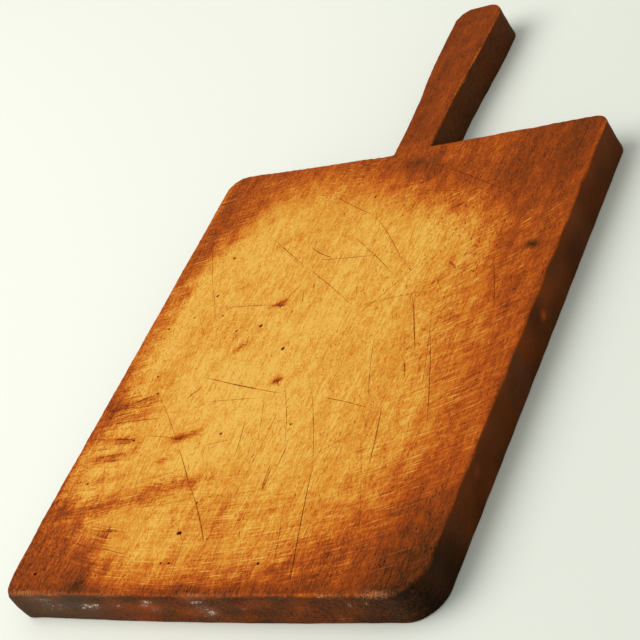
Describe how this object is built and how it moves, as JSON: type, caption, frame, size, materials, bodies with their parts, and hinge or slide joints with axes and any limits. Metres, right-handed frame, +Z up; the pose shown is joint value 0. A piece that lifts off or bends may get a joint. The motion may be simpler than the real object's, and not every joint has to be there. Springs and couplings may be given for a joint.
{
  "type": "cutting board",
  "caption": "Old wooden cutting board sawn from one plank, a nearly square blade with rounded corners and a short flared hand grip in the middle of its far end.",
  "frame": {"origin": "middle of the blade on its underside, the face that the board lies on", "axes": "+Y from the blade towards the grip, +Z up through the plank, +X to the right when the grip points away"},
  "size_m": [0.28, 0.4635, 0.023],
  "materials": {
    "wood": "old oiled hardwood, golden and scoured in the middle, red-brown near the edges, dark brown on the sides, with knife cuts and beetle holes"
  },
  "bodies": {
    "root": {"board": "wood"}
  },
  "joints": []
}
